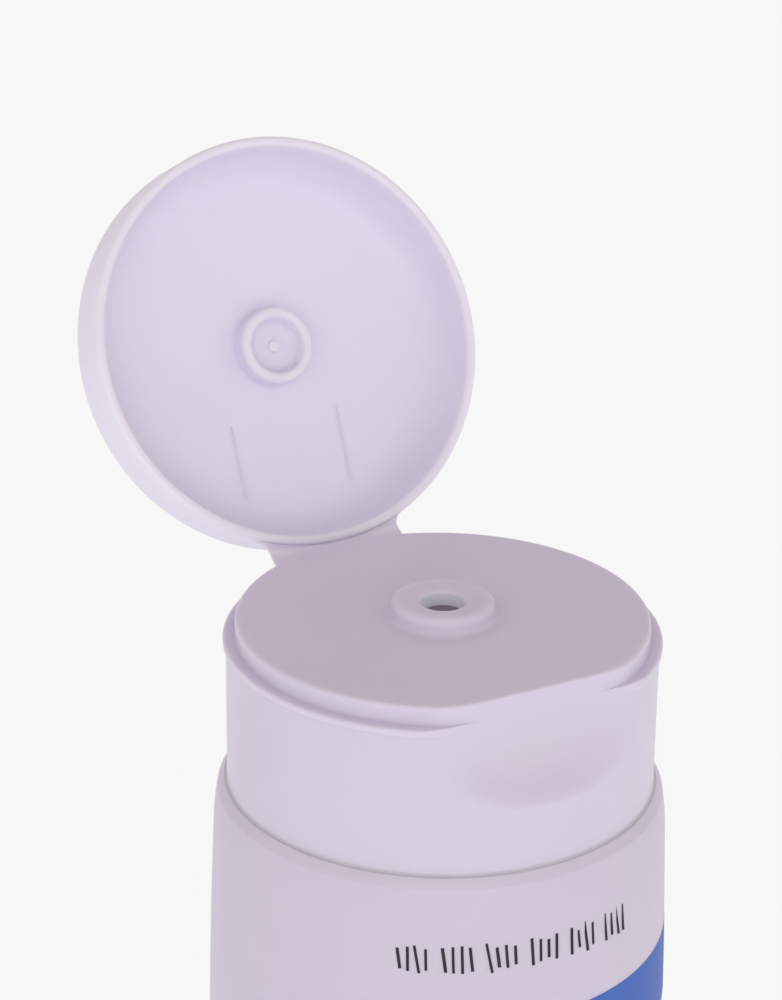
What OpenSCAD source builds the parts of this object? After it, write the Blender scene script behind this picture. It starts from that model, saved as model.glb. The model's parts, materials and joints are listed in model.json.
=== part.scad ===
// Squeeze bottle for hair gel with a wide flip-top closure, closure upwards and lid open.
// Origin at the centre of the base, +Z up the bottle, thumb scoop towards -Y, hinge towards +Y.

/* [Bottle] */
// Height of the body, from the base to the shoulder's shelf
body_h = 96.8; // [70:0.1:140]
// How far the body's ends stand out past the closure
body_out = 1.0; // [0.6:0.1:3]
// How far the side bows out between its ends
belly = 1.2; // [0.4:0.1:3]
// Radius of the round between the base and the side
heel_r = 7; // [3:0.5:12]
// Radius of the round between the side and the shoulder
shoulder_r = 28; // [16:1:40]
// How far the shoulder's edge stands out past the closure
shoulder_edge = 0.75; // [0.5:0.05:0.9]
// Height of the bevel from the shoulder's edge up to the shelf
bevel_h = 1.2; // [0.6:0.1:2]
// Wall of the blown bottle
bottle_wall = 1.0; // [0.7:0.1:1.6]

/* [Neck] */
// Outer radius of the neck
neck_r = 19; // [16:0.25:19.5]
// Height of the snap bead above the shoulder
bead_up = 5; // [4:0.25:8]
// How far the snap bead stands out
bead_out = 0.5; // [0.3:0.05:0.8]
// Height of the snap bead
bead_h = 2; // [1.5:0.1:3]

/* [Closure base] */
// Outer radius of the closure at its lip
cap_r = 25; // [24:0.25:30]
// Height of the skirt below the ledge
skirt_h = 17.6; // [15:0.2:24]
// Gap between the skirt and the bottle's shoulder
skirt_gap = 0.1; // [0.1:0.05:0.6]
// Wall of the skirt
skirt_wall = 1.2; // [1:0.1:1.8]
// How far the lip stands out past the skirt
lip_out = 0.35; // [0.1:0.05:0.5]
// Height of the lip
lip_h = 0.7; // [0.5:0.1:2]
// Width of the ledge that the lid's rim sits on
ledge_w = 1.4; // [1.2:0.05:2]
// Height of the raised deck above the ledge
deck_h = 2.2; // [1.2:0.1:3]
// Round on the deck's edge
deck_edge_r = 0.5; // [0.3:0.1:1.1]
// Thickness of the deck
deck_t = 1.3; // [1:0.1:1.8]
// Radial clearance between the collar and the neck
collar_clear = 0.25; // [0.15:0.05:0.4]
// Wall of the collar that grips the neck
collar_wall = 1.0; // [0.8:0.1:1.4]
// Length of the sealing plug below the deck
seal_h = 4; // [2:0.5:6]

/* [Nozzle] */
// Radius of the orifice
orifice_r = 2.6; // [1.5:0.05:3]
// Length of the orifice
orifice_h = 1.8; // [1:0.1:2.2]
// Height of the orifice's mouth above the deck
mouth_h = 1.7; // [1.4:0.1:2.4]
// Radius of the nozzle's crest
crest_r = 4.95; // [4.75:0.05:5.5]
// Height of the crest above the mouth
crest_h = 0.35; // [0.3:0.05:0.8]
// How far the nozzle's face slopes out below its crest
face_out = 1.0; // [0.6:0.1:1.4]
// Round between the nozzle's face and the deck
foot_r = 0.8; // [0.4:0.1:1.1]

/* [Thumb scoop] */
// Distance from the closure's axis to the scoop's face
scoop_y = 21.3; // [21:0.1:23]
// Radius of the scoop's lower round
scoop_r = 8; // [5:0.5:10]
// Depth of the scoop below the ledge, to its round's lowest reach
scoop_h = 11.2; // [9:0.2:12]

/* [Lid] */
// Height of the closed lid
lid_h = 8.5; // [8:0.1:12]
// Thickness of the lid's top
lid_top = 1.4; // [1:0.1:2]
// Round on the lid's outer edge
lid_edge_r = 2.2; // [1:0.1:3]
// Round inside the lid, between wall and top
lid_inner_r = 4.2; // [1.5:0.1:5]
// Gap between the closed lid's rim and the ledge
lid_gap = 0.3; // [0.2:0.05:0.5]
// Radial clearance between the lid's wall and the raised deck
lid_clear = 0.25; // [0.2:0.05:0.4]
// Outer radius of the plug
plug_r = 4.7; // [4:0.05:4.8]
// Width of the plug's tip, round the cup in it
plug_wall = 1.2; // [0.8:0.1:1.4]
// Clearance between the closed plug and the nozzle's dish
plug_clear = 0.25; // [0.15:0.05:0.4]
// Depth of the cup in the plug's tip
cup_h = 1.2; // [0.6:0.1:2]

/* [Hinge] */
// Width of the hinge
hinge_w = 17.4; // [12:0.2:22]
// How far the hinge line stands out past the closure
hinge_out = 0.8; // [0.7:0.05:1.5]
// Radius of the bead along the hinge line
hinge_bead_r = 0.45; // [0.35:0.05:0.6]
// Clearance round the bead
hinge_clear = 0.15; // [0.1:0.05:0.3]
// Radius of the flare where the hinge's sides run into the round walls
flare_r = 1.5; // [1:0.25:4]
// Thickness of the lands that carry the hinge
land_t = 1.4; // [1:0.1:2]
// Angle of the open lid, from closed
lid_open = 117.5; // [90:0.5:160]

/* [Hidden] */

$fn = 160;
arc_steps = 12;
small_steps = 6;
overrun = 1;

// Small rounds and bevels that the moulds leave
edge = 0.3;
fit_gap = 0.05;

// Levels, all measured from the base
ledge_z = body_h + skirt_gap + skirt_h;
deck_z = ledge_z + deck_h;
under_z = deck_z - deck_t;
neck_z = under_z - fit_gap;
mouth_z = deck_z + mouth_h;
rim_z = ledge_z + lid_gap;
bead_z = body_h + bead_up;

// Radii
skirt_r = cap_r - lip_out;
skirt_in = skirt_r - skirt_wall;
deck_r = cap_r - ledge_w;
neck_in = neck_r - bottle_wall;
collar_in = neck_r + bead_out + collar_clear;
collar_r = collar_in + collar_wall;
seal_r = neck_in - collar_clear / 2;
lid_in = deck_r + lid_clear;
hinge_y = cap_r + hinge_out;
land_y = cap_r - 2 * ledge_w;

// The nozzle's dish rises in a straight line from the orifice, then turns over the crest to the face
dish_rise = 0.6 * crest_h;
crest_round = 0.5;
crest_in_a = 120;
crest_z = mouth_z + crest_h;
dish_r = crest_r - crest_round;
foot_z = deck_z + foot_r;
plug_z = mouth_z + dish_rise + plug_clear;

// Nub left by the gate in the middle of the plug's cup
gate_r = 0.7;
gate_h = 0.5;

// The flare touches the hinge's side and the closure's round wall
flare_c = [hinge_w / 2 + flare_r, sqrt(pow(cap_r + flare_r, 2) - pow(hinge_w / 2 + flare_r, 2))];
flare_a = atan2(flare_c.y, flare_c.x);

// The bottle's side is one long bow between the base and the shoulder
end_r = cap_r + body_out;
bow_r = (pow(body_h / 2, 2) + pow(belly, 2)) / (2 * belly);
bow_c = [end_r + belly - bow_r, body_h / 2];
heel_c = [bow_c.x + sqrt(pow(bow_r - heel_r, 2) - pow(bow_c.y - heel_r, 2)), heel_r];
heel_a = atan2(heel_c.y - bow_c.y, heel_c.x - bow_c.x);

// The shoulder's round touches the bow and ends at the shoulder's edge, under the bevel
edge_z = body_h - bevel_h;
shoulder_e = [cap_r + shoulder_edge, edge_z];
to_edge = shoulder_e - bow_c;
edge_d = norm(to_edge);
along = (pow(bow_r - shoulder_r, 2) - pow(shoulder_r, 2) + pow(edge_d, 2)) / (2 * edge_d);
aside = sqrt(pow(bow_r - shoulder_r, 2) - pow(along, 2));
shoulder_c = bow_c + along * to_edge / edge_d + aside * [to_edge.y, -to_edge.x] / edge_d;
shoulder_a = atan2(shoulder_c.y - bow_c.y, shoulder_c.x - bow_c.x);

// Points along an arc, both ends included
function arc(c, r, a0, a1, steps = arc_steps) =
    [for (i = [0:steps]) let (a = a0 + (a1 - a0) * i / steps) c + r * [cos(a), sin(a)]];

function flip(p) = [for (i = [len(p) - 1:-1:0]) p[i]];

// The bottle's side from the heel to the shelf, set in by a wall
function side(inset) = concat(
    arc(heel_c, heel_r - inset, -90, heel_a),
    arc(bow_c, bow_r - inset, heel_a, shoulder_a),
    arc(shoulder_c, shoulder_r - inset, shoulder_a,
        asin((edge_z - inset / 2 - shoulder_c.y) / (shoulder_r - inset))),
    [[cap_r - inset / 2, body_h - inset]]);

// Blow-moulded bottle: base, bowed side, bevelled shoulder, flat shelf and a neck with its snap bead
module bottle() {
    outside = concat([[0, 0]], side(0), [
        [neck_r, body_h],
        [neck_r, bead_z - bead_h / 2],
        [neck_r + bead_out, bead_z - bead_h / 4],
        [neck_r + bead_out, bead_z],
        [neck_r, bead_z + bead_h / 2],
        [neck_r, neck_z - edge],
        [neck_r - edge, neck_z]]);
    inside = concat([[0, bottle_wall]], side(bottle_wall), [
        [neck_in, body_h - bottle_wall],
        [neck_in, neck_z]]);
    color("#D8CCDD")
    rotate_extrude()
        polygon(concat(outside, flip(inside)));
}

// Half section of the closure base, from the orifice out to the skirt and back along the inside
module cap_section() {
    top = concat([[orifice_r, mouth_z], [dish_r, mouth_z + dish_rise]],
        arc([crest_r, crest_z - crest_round], crest_round, crest_in_a, 90, small_steps),
        [for (i = [1:arc_steps]) let (a = 90 * i / arc_steps)
            [crest_r + face_out * sin(a), foot_z + (crest_z - foot_z) * cos(a)]],
        arc([crest_r + face_out + foot_r, foot_z], foot_r, 180, 270, small_steps),
        arc([deck_r - deck_edge_r, deck_z - deck_edge_r], deck_edge_r, 90, 0, small_steps),
        [[deck_r, ledge_z], [cap_r - edge, ledge_z], [cap_r, ledge_z - edge],
         [cap_r, ledge_z - lip_h], [skirt_r, ledge_z - lip_h - lip_out]]);
    skirt_foot = ledge_z - skirt_h;
    snap_z = bead_z - bead_h / 2 - fit_gap;
    below = [
        [skirt_r, skirt_foot + edge], [skirt_r - edge, skirt_foot], [skirt_in, skirt_foot],
        [skirt_in, ledge_z - skirt_wall], [deck_r - skirt_wall, ledge_z - skirt_wall],
        [deck_r - skirt_wall, under_z], [collar_r, under_z],
        [collar_r, body_h + skirt_gap + edge], [collar_in, body_h + skirt_gap + edge],
        [collar_in - bead_out, snap_z - bead_h / 2], [collar_in - bead_out, snap_z - bead_h / 4],
        [collar_in, snap_z], [collar_in, under_z], [seal_r, under_z],
        [seal_r, under_z - seal_h + 2 * edge], [seal_r - edge, under_z - seal_h],
        [seal_r - collar_wall, under_z - seal_h], [seal_r - collar_wall, under_z],
        [crest_r, under_z], [orifice_r + deck_t, mouth_z - orifice_h],
        [orifice_r, mouth_z - orifice_h]];
    polygon(concat(top, below));
}

// Space that the thumb scoop takes, and with a wall added, its shell too
module scoop_space(grow) {
    centre_z = ledge_z - scoop_h + scoop_r;
    translate([-cap_r, -scoop_y - scoop_r, centre_z])
    rotate([0, 90, 0])
        cylinder(h = 2 * cap_r, r = scoop_r + grow);
    translate([-cap_r, -scoop_y - 2 * scoop_r, centre_z])
        cube([2 * cap_r, 2 * scoop_r + grow, deck_z + overrun - centre_z]);
}

// Half section of the room inside the closure, under the deck and the ledge
module inner_section() {
    below_ledge = ledge_z - edge;
    polygon([[0, body_h + skirt_gap], [skirt_r - edge, body_h + skirt_gap],
        [skirt_r - edge, below_ledge], [deck_r - edge, below_ledge], [deck_r - edge, under_z], [0, under_z]]);
}

// Plan of a hinge land, its sides flared into the round wall
module land_plan() {
    half = concat([[hinge_w / 2, hinge_y + overrun]], arc(flare_c, flare_r, 180, 180 + flare_a),
        [[cap_r * cos(flare_a), land_y]]);
    polygon(concat(half, [for (p = flip(half)) [-p.x, p.y]]));
}

// Section of the land on the base, seen along the hinge line, with the web up to the bead
module base_land_section() {
    polygon([[land_y, ledge_z - land_t], [hinge_y - land_t / 2, ledge_z - land_t],
        [hinge_y + hinge_bead_r, rim_z], [hinge_y - hinge_bead_r, rim_z],
        [hinge_y - hinge_bead_r - hinge_clear, ledge_z], [land_y, ledge_z]]);
    translate([hinge_y, rim_z])
        circle(r = hinge_bead_r, $fn = 48);
}

// Section of the land on the closed lid, set in from the rim and kept clear of the bead
module lid_land_section() {
    difference() {
        polygon([[land_y, rim_z + edge], [hinge_y - hinge_bead_r - hinge_clear, rim_z + edge],
            [hinge_y - edge, rim_z + hinge_bead_r + 2 * hinge_clear],
            [hinge_y - edge, rim_z + land_t], [land_y, rim_z + land_t]]);
        translate([hinge_y, rim_z])
            circle(r = hinge_bead_r + hinge_clear, $fn = 48);
    }
}

// Land from its section in Y and Z, trimmed to its plan, at about the given height
module land(z) {
    intersection() {
        translate([-cap_r, 0, 0])
        rotate([90, 0, 90])
        linear_extrude(2 * cap_r)
            children();
        translate([0, 0, z - 2 * land_t])
        linear_extrude(4 * land_t)
            land_plan();
    }
}

// Closure base: raised deck with the nozzle, ledge, skirt, collar, sealing plug and hinge land
module cap_base() {
    color("#D5C9DA")
    union() {
        difference() {
            rotate_extrude()
                cap_section();
            scoop_space(0);
        }
        intersection() {
            difference() {
                scoop_space(skirt_wall);
                scoop_space(0);
            }
            rotate_extrude()
                inner_section();
        }
        land(ledge_z)
            base_land_section();
    }
}

// Half section of the closed lid, with the cupped plug inside its top
module lid_section() {
    top_z = rim_z + lid_h;
    inner_z = top_z - lid_top;
    polygon(concat(
        [[0, top_z]],
        flip(arc([cap_r - lid_edge_r, top_z - lid_edge_r], lid_edge_r, 0, 90)),
        [[cap_r, rim_z + edge], [cap_r - edge, rim_z], [lid_in + edge, rim_z], [lid_in, rim_z + edge]],
        arc([lid_in - lid_inner_r, inner_z - lid_inner_r], lid_inner_r, 0, 90),
        [[plug_r, inner_z], [plug_r, plug_z + edge], [plug_r - edge, plug_z], [plug_r - plug_wall, plug_z],
         [plug_r - plug_wall - edge, plug_z + cup_h], [gate_r, plug_z + cup_h],
         [gate_r, plug_z + cup_h - gate_h], [0, plug_z + cup_h - gate_h]]));
}

// Lid: shallow dish with its plug, swung open about the hinge line
module lid() {
    color("#DCD2E2")
    translate([0, hinge_y, rim_z])
    rotate([-lid_open, 0, 0])
    translate([0, -hinge_y, -rim_z])
    union() {
        rotate_extrude()
            lid_section();
        difference() {
            land(rim_z)
                lid_land_section();
            cylinder(h = rim_z + lid_h, r = lid_in + edge);
        }
    }
}

bottle();
cap_base();
lid();
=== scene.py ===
import json
import math

import bpy
from mathutils import Matrix, Vector


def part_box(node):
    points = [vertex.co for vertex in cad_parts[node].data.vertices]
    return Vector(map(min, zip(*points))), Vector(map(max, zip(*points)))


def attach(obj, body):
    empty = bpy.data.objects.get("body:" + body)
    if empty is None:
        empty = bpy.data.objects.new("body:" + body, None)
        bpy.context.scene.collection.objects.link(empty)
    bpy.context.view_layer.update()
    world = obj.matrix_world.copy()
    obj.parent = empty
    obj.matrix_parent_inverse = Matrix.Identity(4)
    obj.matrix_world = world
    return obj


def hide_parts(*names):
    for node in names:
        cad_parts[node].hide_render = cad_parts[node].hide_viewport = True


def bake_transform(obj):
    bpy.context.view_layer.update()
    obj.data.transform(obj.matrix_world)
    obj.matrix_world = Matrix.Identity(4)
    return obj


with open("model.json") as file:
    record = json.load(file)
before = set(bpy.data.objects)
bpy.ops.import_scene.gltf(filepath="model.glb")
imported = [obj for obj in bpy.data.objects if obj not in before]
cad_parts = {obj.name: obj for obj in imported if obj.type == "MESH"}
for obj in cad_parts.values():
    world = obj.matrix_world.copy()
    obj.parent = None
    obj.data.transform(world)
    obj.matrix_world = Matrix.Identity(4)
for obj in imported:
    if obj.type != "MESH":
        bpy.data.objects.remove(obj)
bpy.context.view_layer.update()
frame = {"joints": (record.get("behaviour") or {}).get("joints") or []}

# Bottle: extrusion blow-moulded in satin polyethylene, one wall all round. The mould gives it a flat
# base, a long bow from heel to shoulder, a bevelled shoulder, and a shelf and a neck inside the closure.
mm = 0.001
bottle_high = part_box("bottle")[1]
closure_low, closure_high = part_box("cap_base")
skirt_gap = 0.1
body_h = closure_low.z / mm - skirt_gap
neck_top = bottle_high.z / mm
widest_r = bottle_high.x / mm
belly = 1.2
heel_r = 7.0
shoulder_r = 28.0
shelf_r = closure_high.x / mm
shoulder_edge = 0.75
bevel_h = 1.2
wall = 1.0
neck_r = 19.0
bead_z = body_h + 5.0
bead_half = 1.0
bead_out = 0.5


def arc(centre, radius, start, end, steps):
    """Points on an arc between two angles in degrees, both ends included."""
    turns = [math.radians(start + (end - start) * i / steps) for i in range(steps + 1)]
    return [(centre[0] + radius * math.cos(a), centre[1] + radius * math.sin(a)) for a in turns]


def rounded(corners, steps=6, guard=0.12):
    """A line through corners (x, y, round), with an arc at each and guard points that keep its ends crisp."""
    points = []
    for i, (x, y, radius) in enumerate(corners):
        here = Vector((x, y))
        if radius == 0 or i in (0, len(corners) - 1):
            points.append((x, y))
            continue
        back = Vector(corners[i - 1][:2]) - here
        ahead = Vector(corners[i + 1][:2]) - here
        half = back.angle(ahead) / 2
        reach = radius / math.tan(half)
        middle = here + (back.normalized() + ahead.normalized()).normalized() * radius / math.sin(half)
        start = here + back.normalized() * reach - middle
        sweep = start.angle_signed(here + ahead.normalized() * reach - middle)
        # A guard point keeps short of the middle of its leg, where the next corner's guard point may stand.
        before, after = (min(guard, max(0.45 * leg.length - reach, 0.02)) for leg in (back, ahead))
        points.append(tuple(here + back.normalized() * (reach + before)))
        for k in range(steps + 1):
            turned_by = Matrix.Rotation(-sweep * k / steps, 2) @ start
            points.append(tuple(middle + turned_by))
        points.append(tuple(here + ahead.normalized() * (reach + after)))
    return points


def turned(name, outline, closed=False, angles=None, reach=None):
    """Mesh object of an outline (radius, height) in mm carried round Z, with reach(index, angle) as limit."""
    angles = angles or [math.tau * i / 240 for i in range(240)]
    vertices, rings = [], []
    for index, (radius, height) in enumerate(outline):
        if radius < 1e-6:
            rings.append([len(vertices)])
            vertices.append((0, 0, height * mm))
            continue
        rings.append(range(len(vertices), len(vertices) + len(angles)))
        for angle in angles:
            far = reach(index, angle) if reach else radius
            vertices.append((far * math.cos(angle) * mm, far * math.sin(angle) * mm, height * mm))
    pairs = list(zip(rings, rings[1:]))
    if closed:
        pairs.append((rings[-1], rings[0]))
    faces = []
    for low, high in pairs:
        for i in range(len(angles)):
            j = (i + 1) % len(angles)
            corners = [low[i % len(low)], low[j % len(low)], high[j % len(high)], high[i % len(high)]]
            faces.append(list(dict.fromkeys(corners)))
    return mesh_object(name, vertices, faces)


def mesh_object(name, vertices, faces, sharp_above=40):
    """Smooth-shaded object of a mesh whose faces are given outwards, sharp only past an angle."""
    mesh = bpy.data.meshes.new(name)
    mesh.from_pydata(vertices, [], faces)
    mesh.validate()
    for polygon in mesh.polygons:
        polygon.use_smooth = True
    mesh.set_sharp_from_angle(angle=math.radians(sharp_above))
    piece = bpy.data.objects.new(name, mesh)
    bpy.context.scene.collection.objects.link(piece)
    return piece


end_r = widest_r - belly
bow_r = ((body_h / 2) ** 2 + belly ** 2) / (2 * belly)
bow_c = Vector((widest_r - bow_r, body_h / 2))
heel_c = Vector((bow_c.x + math.sqrt((bow_r - heel_r) ** 2 - (bow_c.y - heel_r) ** 2), heel_r))
heel_a = math.degrees(math.atan2(heel_c.y - bow_c.y, heel_c.x - bow_c.x))
edge_z = body_h - bevel_h
to_edge = Vector((shelf_r + shoulder_edge, edge_z)) - bow_c
along = ((bow_r - shoulder_r) ** 2 - shoulder_r ** 2 + to_edge.length ** 2) / (2 * to_edge.length)
aside = math.sqrt((bow_r - shoulder_r) ** 2 - along ** 2)
across = Vector((to_edge.y, -to_edge.x)).normalized()
shoulder_c = bow_c + to_edge.normalized() * along + across * aside
shoulder_a = math.degrees(math.atan2(shoulder_c.y - bow_c.y, shoulder_c.x - bow_c.x))


def side(inset):
    """The bottle's side from the base to the shoulder, set in by a wall."""
    top_a = math.degrees(math.asin((edge_z - inset / 2 - shoulder_c.y) / (shoulder_r - inset)))
    heel = arc(heel_c, heel_r - inset, -90, heel_a, 20)
    bow = arc(bow_c, bow_r - inset, heel_a, shoulder_a, 40)[1:]
    return heel + bow + arc(shoulder_c, shoulder_r - inset, shoulder_a, top_a, 16)[1:]


def side_radius(height):
    """Radius of the bottle's side at a height in mm above its heel."""
    for centre, radius, start in ((shoulder_c, shoulder_r, shoulder_a), (bow_c, bow_r, heel_a)):
        if height >= centre.y + radius * math.sin(math.radians(start)):
            return centre.x + math.sqrt(radius ** 2 - (height - centre.y) ** 2)
    return end_r


neck_outside = rounded([
    (*side(0)[-2], 0), (*side(0)[-1], 0.6), (shelf_r, body_h, 0.25), (neck_r, body_h, 0.5),
    (neck_r, bead_z - bead_half, 0.2), (neck_r + bead_out, bead_z - bead_half / 2, 0.2),
    (neck_r + bead_out, bead_z, 0.2), (neck_r, bead_z + bead_half, 0.2), (neck_r, neck_top, 0.3),
    (neck_r - wall, neck_top, 0)])
neck_inside = rounded([(neck_r - wall, neck_top, 0), (neck_r - wall, body_h - wall, 0.5),
                       (shelf_r - wall / 2, body_h - wall, 0.3), (*side(wall)[-1], 0)])
bottle_outside = [(0, 0)] + side(0)[:-1] + neck_outside[1:]
bottle_inside = neck_inside[1:-1] + side(wall)[::-1] + [(0, wall)]
bottle = turned("bottle_body", bottle_outside + bottle_inside)


def linear(colour):
    """Linear colour of an sRGB hex value."""
    shares = [int(colour[i:i + 2], 16) / 255 for i in (0, 2, 4)]
    return [s / 12.92 if s <= 0.04045 else ((s + 0.055) / 1.055) ** 2.4 for s in shares] + [1]


def add_node(tree, kind, settings=None, **inputs):
    """Adds a node, sets its properties, and sets or links its inputs, named with _ for a space."""
    node = tree.nodes.new(kind)
    for name, value in (settings or {}).items():
        setattr(node, name, value)
    for name, value in inputs.items():
        socket = node.inputs[int(name[1:]) if name[0] == "_" else name.replace("_", " ")]
        if isinstance(value, bpy.types.NodeSocket):
            tree.links.new(value, socket)
        else:
            socket.default_value = value
    return node


def moulded_plastic(name, colours, grain, sinks, roughness, glow, painted_glow=0.0):
    """Moulded polyolefin: a faint mould grain, slow unevenness over the sinks, light inside the wall, and an
    optional painted glow.
    """
    material = bpy.data.materials.new(name)
    material.use_nodes = True
    tree = material.node_tree
    place = add_node(tree, "ShaderNodeTexCoord").outputs["Object"]
    slow = add_node(tree, "ShaderNodeTexNoise", Vector=place, Scale=1 / (sinks * mm), Detail=2.0)
    fine = add_node(tree, "ShaderNodeTexNoise", Vector=place, Scale=1 / (grain * mm), Detail=1.0)
    tint = add_node(tree, "ShaderNodeMix", {"data_type": "RGBA"}, _0=slow.outputs["Fac"],
                    _6=linear(colours[0]), _7=linear(colours[1]))
    satin = add_node(tree, "ShaderNodeMapRange", Value=slow.outputs["Fac"],
                     To_Min=roughness - 0.04, To_Max=roughness + 0.04)
    dents = add_node(tree, "ShaderNodeBump", Height=slow.outputs["Fac"], Strength=0.12, Distance=0.15 * mm)
    bumps = add_node(tree, "ShaderNodeBump", Height=fine.outputs["Fac"], Normal=dents.outputs["Normal"],
                     Strength=0.15, Distance=0.01 * mm)
    shader = tree.nodes["Principled BSDF"]
    tree.links.new(tint.outputs[2], shader.inputs["Base Color"])
    tree.links.new(satin.outputs["Result"], shader.inputs["Roughness"])
    tree.links.new(bumps.outputs["Normal"], shader.inputs["Normal"])
    shader.inputs["IOR"].default_value = 1.49
    shader.inputs["Subsurface Weight"].default_value = glow
    shader.inputs["Subsurface Radius"].default_value = (1.0, 0.92, 1.05)
    shader.inputs["Subsurface Scale"].default_value = 1.5 * mm
    # Painted glow: an emission in the first colour, at the strength given last, stands in for light.
    shader.inputs["Emission Color"].default_value = linear(colours[0])
    shader.inputs["Emission Strength"].default_value = painted_glow
    return material


def line_inside(piece, material, inner_r, floor_z):
    """Gives a second material to a piece's faces nearer the axis than a radius and above a height."""
    piece.data.materials.append(material)
    for polygon in piece.data.polygons:
        if polygon.center.xy.length < inner_r * mm and polygon.center.z > floor_z * mm:
            polygon.material_index = 1


# Blow-moulded polyethylene: waxy and satin, with slow waves in the wall that soften its highlights.
blown = {"grain": 0.3, "sinks": 14, "roughness": 0.42, "glow": 0.4}
bottle.data.materials.append(moulded_plastic("blown_polyethylene", ("D4CBDF", "D0C7DB"), **blown))
# The neck's inside gets its own colour and a faint painted glow, which stand in for daylight coming through
# the thin wall.
painted_glow_polyethylene = moulded_plastic("blown_polyethylene_painted_glow", ("D0C4D4", "CCC0D0"), **blown, painted_glow=0.14)
line_inside(bottle, painted_glow_polyethylene, neck_r - wall / 2, body_h + wall / 2)
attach(bottle, "pack")
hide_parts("bottle")

# Print: two passes of screen ink straight on the blown wall, a blue field over the front and a row of
# dark marks above it. Both are placed from the closure's ledge and stand proud as an ink film does.
ink_proud = 0.03
ink_under = 0.05
ledge_z = closure_high.z / mm - 4.25
band_top = ledge_z - 35.5
band_h = 9.2
band_from = -152
band_to = -28


def wrapped(name, rows, columns):
    """A closed film over the bottle's side, on a grid of heights in mm and angles in degrees."""
    vertices, faces = [], []
    for proud in (ink_proud, -ink_under):
        for height in rows:
            for angle in columns:
                radius = (side_radius(height) + proud) * mm
                a = math.radians(angle)
                vertices.append((radius * math.cos(a), radius * math.sin(a), height * mm))
    wide, layer = len(columns), len(rows) * len(columns)
    for r in range(len(rows) - 1):
        for c in range(wide - 1):
            quad = [r * wide + c, r * wide + c + 1, (r + 1) * wide + c + 1, (r + 1) * wide + c]
            faces.append(quad)
            faces.append([layer + v for v in reversed(quad)])
    rim = list(range(wide)) + [r * wide + wide - 1 for r in range(1, len(rows))]
    rim += [layer - wide + c for c in range(wide - 2, -1, -1)]
    rim += [r * wide for r in range(len(rows) - 2, 0, -1)]
    for a, b in zip(rim, rim[1:] + rim[:1]):
        faces.append([b, a, layer + a, layer + b])
    return mesh_object(name, vertices, faces)


def screen_ink(name, colours, roughness):
    """Screen ink: flat and opaque, a little uneven where the mesh laid it down."""
    material = bpy.data.materials.new(name)
    material.use_nodes = True
    tree = material.node_tree
    place = add_node(tree, "ShaderNodeTexCoord").outputs["Object"]
    mesh_marks = add_node(tree, "ShaderNodeTexNoise", Vector=place, Scale=1 / (0.4 * mm), Detail=3.0)
    tint = add_node(tree, "ShaderNodeMix", {"data_type": "RGBA"}, _0=mesh_marks.outputs["Fac"],
                    _6=linear(colours[0]), _7=linear(colours[1]))
    shader = tree.nodes["Principled BSDF"]
    tree.links.new(tint.outputs[2], shader.inputs["Base Color"])
    shader.inputs["Roughness"].default_value = roughness
    shader.inputs["Specular IOR Level"].default_value = 0.25
    return material


band_rows = [band_top - band_h * i / 6 for i in range(6, -1, -1)]
band_columns = [band_from + (band_to - band_from) * i / 96 for i in range(97)]
band = wrapped("blue_field", band_rows, band_columns)
band.data.materials.append(screen_ink("screen_ink_blue", ("456CBF", "4067B9"), 0.5))
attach(band, "pack")

marks_z = ledge_z - 27.15
marks_r = side_radius(marks_z)
marks_from = -129
marks_span = 63
mark_count = 30
mark_group = 5
mark_values = {"Radius": marks_r * mm, "Height": marks_z * mm, "Start": math.radians(marks_from),
               "Step": math.radians(marks_span / (mark_count - 1)), "Width": 0.33 * mm, "Tall": 3.9 * mm,
               "Thick": (ink_proud + ink_under) * mm}


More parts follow.
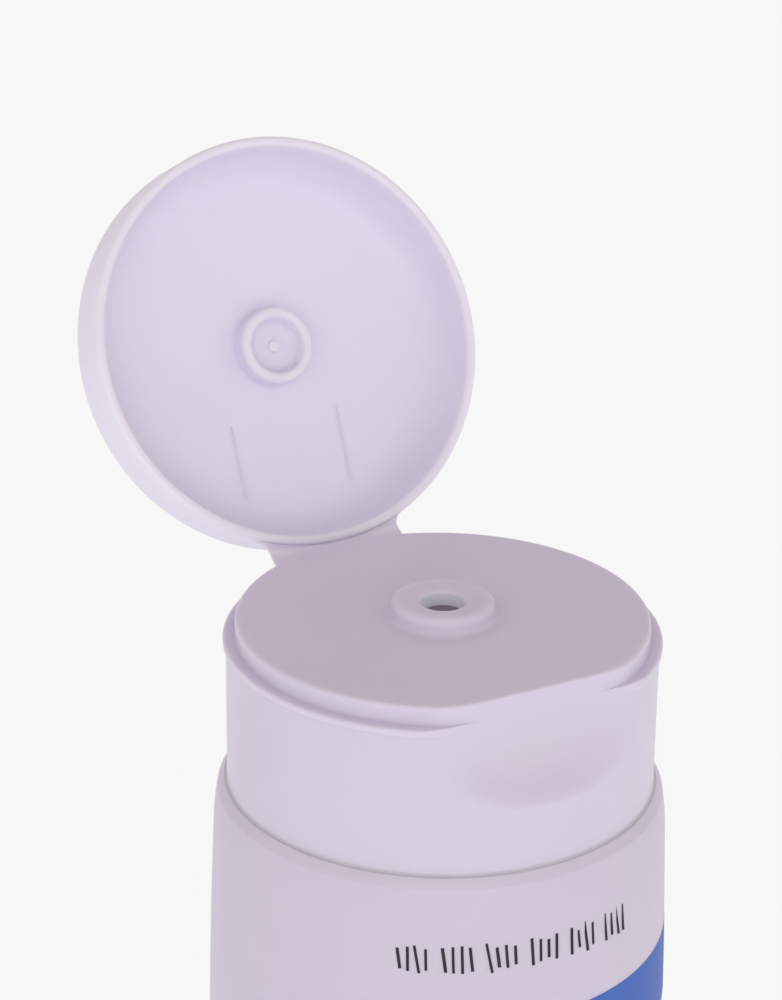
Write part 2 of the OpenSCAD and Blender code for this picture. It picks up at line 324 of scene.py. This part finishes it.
def marks_tree():
    """Upright and leaning strokes set along an arc, in groups with a gap after each."""
    tree = bpy.data.node_groups.new("print_marks", "GeometryNodeTree")
    tree.interface.new_socket("Geometry", in_out="OUTPUT", socket_type="NodeSocketGeometry")
    for name in mark_values:
        tree.interface.new_socket(name, in_out="INPUT", socket_type="NodeSocketFloat")
    tree.interface.new_socket("Count", in_out="INPUT", socket_type="NodeSocketInt")
    tree.interface.new_socket("Ink", in_out="INPUT", socket_type="NodeSocketMaterial")
    given = tree.nodes.new("NodeGroupInput").outputs
    index = add_node(tree, "GeometryNodeInputIndex").outputs[0]

    def calc(operation, a, b=0.0):
        return add_node(tree, "ShaderNodeMath", {"operation": operation}, _0=a, _1=b).outputs[0]

    def pick(low, high, seed):
        rolled = add_node(tree, "FunctionNodeRandomValue", {"data_type": "FLOAT"}, _2=low, _3=high, Seed=seed)
        return rolled.outputs[1]

    turn = calc("ADD", given["Start"], calc("MULTIPLY", index, given["Step"]))
    sunk_share = (ink_under - ink_proud) / (2 * (ink_under + ink_proud))
    middle = calc("SUBTRACT", given["Radius"], calc("MULTIPLY", given["Thick"], sunk_share))
    place = add_node(tree, "ShaderNodeCombineXYZ", X=calc("MULTIPLY", calc("COSINE", turn), middle),
                     Y=calc("MULTIPLY", calc("SINE", turn), middle), Z=given["Height"])
    points = add_node(tree, "GeometryNodePoints", Count=given["Count"], Position=place.outputs[0])
    gap = calc("COMPARE", calc("MODULO", index, mark_group), mark_group - 1)
    kept = add_node(tree, "GeometryNodeDeleteGeometry", {"domain": "POINT"}, Geometry=points.outputs[0],
                    Selection=gap)
    size = add_node(tree, "ShaderNodeCombineXYZ", X=given["Thick"], Y=given["Width"], Z=given["Tall"])
    stroke = add_node(tree, "GeometryNodeMeshCube", Size=size.outputs[0])
    stroke.inputs["Vertices Z"].default_value = 6
    facing = add_node(tree, "ShaderNodeCombineXYZ", X=pick(0.0, 0.2, 4), Z=turn)
    height = add_node(tree, "ShaderNodeCombineXYZ", X=1.0, Y=pick(0.9, 1.1, 7), Z=pick(0.55, 1.0, 2))
    copies = add_node(tree, "GeometryNodeInstanceOnPoints", Points=kept.outputs[0],
                      Instance=stroke.outputs[0], Rotation=facing.outputs[0], Scale=height.outputs[0])
    solid = add_node(tree, "GeometryNodeRealizeInstances", Geometry=copies.outputs[0])
    inked = add_node(tree, "GeometryNodeSetMaterial", Geometry=solid.outputs[0], Material=given["Ink"])
    result = tree.nodes.new("NodeGroupOutput")
    tree.links.new(inked.outputs[0], result.inputs[0])
    return tree


def plain_mesh(name, tree, values):
    """Runs a geometry tree once with its named values, and keeps its result as a plain mesh object."""
    carrier = bpy.data.objects.new(name + "_carrier", bpy.data.meshes.new(name + "_carrier"))
    bpy.context.scene.collection.objects.link(carrier)
    modifier = carrier.modifiers.new("nodes", "NODES")
    modifier.node_group = tree
    for item in tree.interface.items_tree:
        if item.in_out == "INPUT" and item.name in values:
            modifier[item.identifier] = values[item.name]
    bpy.context.view_layer.update()
    graph = bpy.context.evaluated_depsgraph_get()
    mesh = bpy.data.meshes.new_from_object(carrier.evaluated_get(graph))
    bpy.data.objects.remove(carrier)
    mesh.name = name
    piece = bpy.data.objects.new(name, mesh)
    bpy.context.scene.collection.objects.link(piece)
    return piece


dark_ink = screen_ink("screen_ink_violet_black", ("2A2133", "332A3C"), 0.4)
marks = plain_mesh("dark_marks", marks_tree(), {**mark_values, "Count": mark_count, "Ink": dark_ink})
for vertex in marks.data.vertices:
    radius = math.hypot(vertex.co.x, vertex.co.y)
    wrapped_to = radius + (side_radius(vertex.co.z / mm) - marks_r) * mm
    vertex.co.x *= wrapped_to / radius
    vertex.co.y *= wrapped_to / radius
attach(marks, "pack")

# Closure base: injection-moulded in polypropylene with its nozzle, deck, ledge, skirt and the collar that
# grips the neck. The front of its skirt is drawn in to a scoop for the thumb that lifts the lid.
cap_r = closure_high.x / mm
crest_z = closure_high.z / mm
skirt_foot = body_h - 0.02
foot_flare_h = 0.3
foot_flare_out = 0.25
deck_z = ledge_z + 2.2
mouth_z = deck_z + 1.7
under_z = deck_z - 1.3
lip_h = 0.7
lip_out = 0.35
skirt_r = cap_r - lip_out
skirt_wall = 1.2
deck_r = cap_r - 1.4
scoop_h = 11.2
scoop_y = 21.3
scoop_r = 8.0
scoop_z = ledge_z - scoop_h + scoop_r
scoop_soft = 1.4
scoop_lip = 0.3

orifice_r = 2.6
orifice_h = 1.8
dish_rise = 0.21
crest_r = 4.95
crest_round = 0.5
crest_from = 120
face_out = 1.0
foot_r = 0.8
foot_z = deck_z + foot_r
crest = arc((crest_r, crest_z - crest_round), crest_round, crest_from, 90, 5)
nozzle = rounded([(orifice_r, mouth_z - orifice_h, 0), (orifice_r, mouth_z, 0.4),
                  (crest_r - crest_round, mouth_z + dish_rise, 2.0), (*crest[0], 0)])[:-1] + crest
for a in range(6, 85, 6):
    full_out, full_up = (share ** 0.75 for share in (math.sin(math.radians(a)), math.cos(math.radians(a))))
    nozzle.append((crest_r + face_out * full_out, foot_z + (crest_z - foot_z) * full_up))
nozzle.append((crest_r + face_out, foot_z))
nozzle += arc((crest_r + face_out + foot_r, foot_z), foot_r, 180, 270, 8)[1:]
deck = rounded([(*nozzle[-1], 0), (deck_r, deck_z, 0.5), (deck_r, ledge_z, 0.15), (cap_r, ledge_z, 0.3),
                (cap_r, ledge_z - lip_h, 0.15), (skirt_r, ledge_z - lip_h - lip_out, 0.3),
                (skirt_r, skirt_foot + foot_flare_h, 0.3), (skirt_r + foot_flare_out, skirt_foot, 0),
                (skirt_r - skirt_wall, skirt_foot, 0)])
collar_r = 20.75
collar_in = collar_r - 1
collar_foot = skirt_foot + 0.4
ring_in = collar_in - 0.5
ring_z = bead_z - 1.55
ring_h = 0.5
seal_r = 17.9
seal_in = seal_r - 1
seal_foot = under_z - 4
inside = rounded([
    (skirt_r - skirt_wall, skirt_foot, 0), (skirt_r - skirt_wall, ledge_z - skirt_wall, 0.3),
    (deck_r - skirt_wall, ledge_z - skirt_wall, 0.2), (deck_r - skirt_wall, under_z, 0.3),
    (collar_r, under_z, 0.2), (collar_r, collar_foot, 0.2), (collar_in, collar_foot, 0.2),
    (ring_in, ring_z - ring_h, 0.1), (ring_in, ring_z, 0.1), (collar_in, ring_z + ring_h, 0.1),
    (collar_in, under_z, 0.2), (seal_r, under_z, 0.2), (seal_r, seal_foot, 0.4), (seal_in, seal_foot, 0.2),
    (seal_in, under_z, 0.2), (crest_r, under_z, 0.2), (orifice_r + 1.3, mouth_z - orifice_h, 0.2),
    (orifice_r, mouth_z - orifice_h, 0)], steps=3)


def fine_rings(outline, step, low, high):
    """The outline with extra points, so that no stretch between two heights is longer than a step."""
    points = [outline[0]]
    for (x0, y0), (x1, y1) in zip(outline, outline[1:]):
        count = 1
        if max(y0, y1) > low and min(y0, y1) < high and abs(y1 - y0) > step:
            count = math.ceil(abs(y1 - y0) / step)
        points += [(x0 + (x1 - x0) * i / count, y0 + (y1 - y0) * i / count) for i in range(1, count + 1)]
    return points


def scoop_face(height):
    """How far in front of the axis the scoop's face lies at a height, or None below the scoop."""
    below = scoop_z - height
    if below >= scoop_r:
        return None
    if below > 0:
        return scoop_y + scoop_r - math.sqrt(scoop_r ** 2 - below ** 2)
    over = height - (deck_z - scoop_lip)
    if over > 0:
        return scoop_y - scoop_lip + math.sqrt(scoop_lip ** 2 - min(over, scoop_lip) ** 2)
    return scoop_y


outer_line = fine_rings(nozzle + deck[1:], 0.25, scoop_z - scoop_r, deck_z)
inner_line = fine_rings(inside[1:-1], 0.8, scoop_z - scoop_r, deck_z)
closure_line = outer_line + inner_line


def scooped(index, angle):
    """Radius of the closure's outline, cut off by the scoop's face with a soft edge between the two."""
    radius, height = closure_line[index]
    face = scoop_face(height)
    if face is None or math.sin(angle) > -0.5:
        return radius
    if index >= len(outer_line):
        face -= skirt_wall
    limit = face / -math.sin(angle)
    near = max(scoop_soft - abs(radius - limit), 0) / scoop_soft
    return min(radius, limit) - near ** 2 * scoop_soft / 4


# The front, where the scoop is cut, gets finer steps round the axis than the rest.
front = [math.radians(0.6 * i - 90) for i in range(-60, 60)]
rest = [math.radians(2 * i - 54) for i in range(144)]
closure = turned("closure_base", closure_line, closed=True, angles=front + rest, reach=scooped)

# Injection-moulded polypropylene: satin from a lightly spark-eroded mould, a touch cooler than the bottle.
injected = {"grain": 0.25, "sinks": 10, "roughness": 0.38}
polypropylene = moulded_plastic("moulded_polypropylene", ("DAD2E6", "D6CEE3"), **injected, glow=0.5)
closure.data.materials.append(polypropylene)
# The orifice's wall gets its own greyer colour and a painted glow, which stand in for light scattered in the
# nozzle and keep it from going black.
painted_glow_polypropylene = moulded_plastic("moulded_polypropylene_painted_glow", ("C9C8D6", "C5C4D2"), **injected,
                                    glow=0.5, painted_glow=0.2)
line_inside(closure, painted_glow_polypropylene, orifice_r + 0.05, seal_foot)
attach(closure, "pack")
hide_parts("cap_base")

# Lid: moulded in one with the base, a shallow dish with a rounded rim. Inside it stands the cupped plug
# that shuts the nozzle, with a nub in its middle left by the gate.
joint = frame["joints"][0]
hinge = Vector(joint["pos_m"])
rim_z = hinge.z / mm
lid_top = rim_z + 8.5
lid_floor = lid_top - 1.4
lid_in = deck_r + 0.25
lid_draft = 0.5
plug_r = 4.7
plug_clear = 0.25
plug_z = mouth_z + dish_rise + plug_clear
cup_r = plug_r - 1.2
cup_draft = 0.3
cup_z = plug_z + 1.7
gate_r = 0.7
gate_z = cup_z - 0.5
lid_line = rounded([
    (0, lid_top, 0), (cap_r, lid_top, 2.2), (cap_r, rim_z, 0.5), (lid_in, rim_z, 0.55),
    (lid_in - lid_draft, lid_floor, 4.6), (plug_r, lid_floor, 0.5), (plug_r, plug_z, 0.6),
    (cup_r, plug_z, 0.5), (cup_r - cup_draft, cup_z, 0.8),
    (gate_r, cup_z, 0.1), (gate_r, gate_z, 0.2), (0, gate_z, 0)], steps=8)
lid = turned("flip_lid", lid_line[::-1])
swing = math.radians(-joint["range_deg"][0])
opened = (Matrix.Translation(hinge) @ Matrix.Rotation(swing, 4, Vector(joint["axis"]))
          @ Matrix.Translation(-hinge))
lid.data.transform(opened)
# The lid is thin all over and lets more light through than the base does: its colour is painted lighter than
# the base's to show this, and its wall scatters a little more light inside.
painted_light_polypropylene = moulded_plastic("moulded_polypropylene_painted_lighter", ("E8E4F4", "E4E0F1"), **injected, glow=0.6)
lid.data.materials.append(painted_light_polypropylene)
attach(lid, "lid")
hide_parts("lid")

# Flow ribs: part of the lid's moulding, two hair-thin ridges from near the plug towards the hinge. They
# border the field through which the melt runs to the hinge's film.
rib_x = 7.2
rib_half = 0.13
rib_h = 0.05
rib_root = 0.04
rib_near = 8.6
rib_far = 18.0
around = 5
rib_vertices, rib_faces = [], []
for x in (-rib_x, rib_x):
    first = len(rib_vertices)
    for y, share in ((rib_near, 0.0), (rib_near + 2, 1.0), (rib_far - 1, 1.0), (rib_far, 0.3)):
        ridge = ((-rib_half, rib_root), (-rib_half, 0), (0, -rib_h * share),
                 (rib_half, 0), (rib_half, rib_root))
        rib_vertices += [((x + off) * mm, y * mm, (lid_floor + height) * mm) for off, height in ridge]
    last = len(rib_vertices) - around
    rib_faces += [[first + i for i in range(around)], [last + around - 1 - i for i in range(around)]]
    for s in range(first, last, around):
        rib_faces += [[s + i, s + around + i, s + around + (i + 1) % around, s + (i + 1) % around]
                      for i in range(around)]
ribs = mesh_object("lid_flow_ribs", rib_vertices, rib_faces)
ribs.data.transform(opened)
# Like the lid's, the ribs' colour is painted lighter than the base's, and they scatter no light inside.
rib_polypropylene = moulded_plastic("moulded_polypropylene_rib", ("E2DDEC", "DED9E8"), **injected, glow=0.0)
ribs.data.materials.append(rib_polypropylene)
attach(ribs, "lid")

# Living hinge: the strap that joins base and lid in the same shot of polypropylene. It is a land on each
# side, flared into the round walls, and between them a film thin enough to fold.
hinge_w = 17.4
flare_r = 1.5
land_t = 1.4
recess = 0.4
film_t = 0.45
film_reach = 0.5
embed = 0.55
root_in = 0.26
root_drop = 0.08
thin_from = 0.45
columns = 24
steps_out = 12
rise = rim_z - ledge_z
flare_c = Vector((hinge_w / 2 + flare_r, math.sqrt((cap_r + flare_r) ** 2 - (hinge_w / 2 + flare_r) ** 2)))
touch = flare_c * cap_r / (cap_r + flare_r)
film_y = hinge.y / mm - film_reach


def strap_width(out):
    """Half width of the strap where its edge lies at a distance from the closure's axis, in mm."""
    if out >= flare_c.y:
        return hinge_w / 2
    return flare_c.x - math.sqrt(max(flare_r ** 2 - (flare_c.y - out) ** 2, 0))


def strap_row(share, level, on_lid, radius=cap_r):
    """A row across the strap: share 0 follows the round wall, 1 runs straight beside the film."""
    edge_y = touch.y + share * (film_y - touch.y)
    half = strap_width(edge_y)
    row = []
    for c in range(columns + 1):
        x = half * (2 * c / columns - 1)
        bow = math.sqrt(radius ** 2 - x ** 2) - math.sqrt(cap_r ** 2 - half ** 2)
        out = edge_y + (1 - share) * bow - hinge.y / mm
        side_up = Vector((x * mm, hinge.y + out * mm, hinge.z + (-level if on_lid else level) * mm))
        row.append(opened @ side_up if on_lid else side_up)
    return row


def land_rows(on_lid):
    """Rows of one land, top and bottom, from inside the round wall out to the film."""
    near = -recess if on_lid else -rise
    deep = -land_t if on_lid else -rise - land_t
    hidden = cap_r - embed
    rows = [(strap_row(0, near - root_drop, on_lid, hidden), strap_row(0, deep, on_lid, hidden))]
    if not on_lid:
        root = cap_r - root_in
        rows.append((strap_row(0, near, on_lid, root), strap_row(0, deep, on_lid, root)))
    for i in range(steps_out + 1):
        share = i / steps_out
        thin = max(share - thin_from, 0) / (1 - thin_from)
        top = near + (film_t / 2 - near) * thin ** 2
        bottom = deep + (-film_t / 2 - deep) * (1 - (1 - thin) ** 2)
        rows.append((strap_row(share, top, on_lid), strap_row(share, bottom, on_lid)))
    return rows


sections = land_rows(False) + land_rows(True)[::-1]
vertices = [point for section in sections for level in section for point in level]
faces = []
row = columns + 1
for s in range(len(sections) - 1):
    here, there = 2 * s * row, 2 * (s + 1) * row
    for c in range(columns):
        faces.append([here + c, here + c + 1, there + c + 1, there + c])
        faces.append([here + row + c + 1, here + row + c, there + row + c, there + row + c + 1])
    faces.append([here + columns, here + row + columns, there + row + columns, there + columns])
    faces.append([here + row, here, there, there + row])
last = 2 * (len(sections) - 1) * row
for c in range(columns):
    faces.append([c + 1, c, row + c, row + c + 1])
    faces.append([last + c, last + c + 1, last + row + c + 1, last + row + c])
strap = mesh_object("hinge_strap", vertices, faces)
strap.data.materials.append(polypropylene)
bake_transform(strap)

# Floor and light: a plain pale sweep under a large soft light from the photograph's side.
floor = mesh_object("floor", [(-4, -4, 0), (4, -4, 0), (4, 4, 0), (-4, 4, 0)], [[0, 1, 2, 3]])
pale = bpy.data.materials.new("pale_floor")
pale.use_nodes = True
tree = pale.node_tree
seen = add_node(tree, "ShaderNodeLightPath").outputs
plain_view = add_node(tree, "ShaderNodeMath", {"operation": "MAXIMUM"}, _0=seen["Is Camera Ray"],
                      _1=seen["Is Glossy Ray"])
clear_view = add_node(tree, "ShaderNodeMath", {"operation": "MAXIMUM"}, _0=plain_view.outputs[0],
                      _1=seen["Is Transmission Ray"])
share = add_node(tree, "ShaderNodeMapRange", Value=clear_view.outputs[0], To_Min=0.86, To_Max=0.96)
glow = add_node(tree, "ShaderNodeEmission", Color=linear("F9F9F9"), Strength=1.0)
shader = tree.nodes["Principled BSDF"]
shader.inputs["Base Color"].default_value = linear("F2F2F2")
shader.inputs["Roughness"].default_value = 0.9
mixed = add_node(tree, "ShaderNodeMixShader", _0=share.outputs[0], _1=shader.outputs[0], _2=glow.outputs[0])
tree.links.new(mixed.outputs[0], tree.nodes["Material Output"].inputs["Surface"])
floor.data.materials.append(pale)

world = bpy.data.worlds.new("soft_room")
bpy.context.scene.world = world
world.use_nodes = True
tree = world.node_tree
tree.nodes.clear()
seen = add_node(tree, "ShaderNodeLightPath").outputs
way = add_node(tree, "ShaderNodeTexCoord").outputs["Generated"]
ways = add_node(tree, "ShaderNodeSeparateXYZ", _0=way)
frontness = add_node(tree, "ShaderNodeVectorMath", {"operation": "DOT_PRODUCT"}, _0=way, _1=(-0.5, -0.866, 0))
from_front = add_node(tree, "ShaderNodeMapRange", Value=frontness.outputs["Value"], From_Min=-0.5,
                      To_Min=0.72, To_Max=1.05)
from_above = add_node(tree, "ShaderNodeMapRange", Value=ways.outputs["Z"], From_Min=0.55,
                      To_Min=0.94, To_Max=0.56)
dimmer = add_node(tree, "ShaderNodeMath", {"operation": "MULTIPLY"}, _0=from_front.outputs[0],
                  _1=from_above.outputs[0])
warmer_up = add_node(tree, "ShaderNodeMix", {"data_type": "RGBA"}, _0=ways.outputs["Z"],
                     _6=linear("FFFFFF"), _7=linear("FFF4EC"))
room = add_node(tree, "ShaderNodeBackground", Color=warmer_up.outputs[2], Strength=dimmer.outputs[0])
white = add_node(tree, "ShaderNodeBackground", Color=linear("F9F9F9"), Strength=1.0)
plain_view = add_node(tree, "ShaderNodeMath", {"operation": "MAXIMUM"}, _0=seen["Is Camera Ray"],
                      _1=seen["Is Transmission Ray"])
mixed = add_node(tree, "ShaderNodeMixShader", _0=plain_view.outputs[0], _1=room.outputs[0],
                 _2=white.outputs[0])
add_node(tree, "ShaderNodeOutputWorld", Surface=mixed.outputs[0])

# Camera: in front of the scoop and to its left, looking down on the closure, as the photograph was taken.
look_at = Vector((0, 0, ledge_z * mm))
camera_away = 346.1 * mm
camera_side = math.radians(-119.95)
camera_up = math.radians(25.35)
away = Vector((math.cos(camera_side) * math.cos(camera_up), math.sin(camera_side) * math.cos(camera_up),
               math.sin(camera_up)))
camera = bpy.data.objects.new("camera", bpy.data.cameras.new("camera"))
bpy.context.scene.collection.objects.link(camera)
camera.data.sensor_fit = "VERTICAL"
camera.data.sensor_height = 24
camera.data.lens = 72.98
aim = (-away).to_track_quat("-Z", "Y").to_matrix().to_4x4()
camera_pan, camera_tilt, camera_roll = math.radians(1.02), math.radians(2.46), math.radians(1.13)
nudge = (Matrix.Rotation(camera_pan, 4, "Y") @ Matrix.Rotation(camera_tilt, 4, "X")
         @ Matrix.Rotation(camera_roll, 4, "Z"))
camera.matrix_world = Matrix.Translation(look_at + away * camera_away) @ aim @ nudge
camera.data.clip_start = 0.01
bpy.context.scene.camera = camera

key = bpy.data.objects.new("key_light", bpy.data.lights.new("key_light", "AREA"))
bpy.context.scene.collection.objects.link(key)
key.data.shape = "RECTANGLE"
key.data.size = 0.8
key.data.size_y = 0.5
key.data.energy = 1.0
key_distance = 0.8
key_side = math.radians(-110)
key_up = math.radians(8)
key_away = Vector((math.cos(key_side) * math.cos(key_up), math.sin(key_side) * math.cos(key_up),
                   math.sin(key_up)))
key_aim = (-key_away).to_track_quat("-Z", "Y").to_matrix().to_4x4()
key.matrix_world = Matrix.Translation(look_at + key_away * key_distance) @ key_aim

bpy.context.scene.view_settings.view_transform = "Standard"
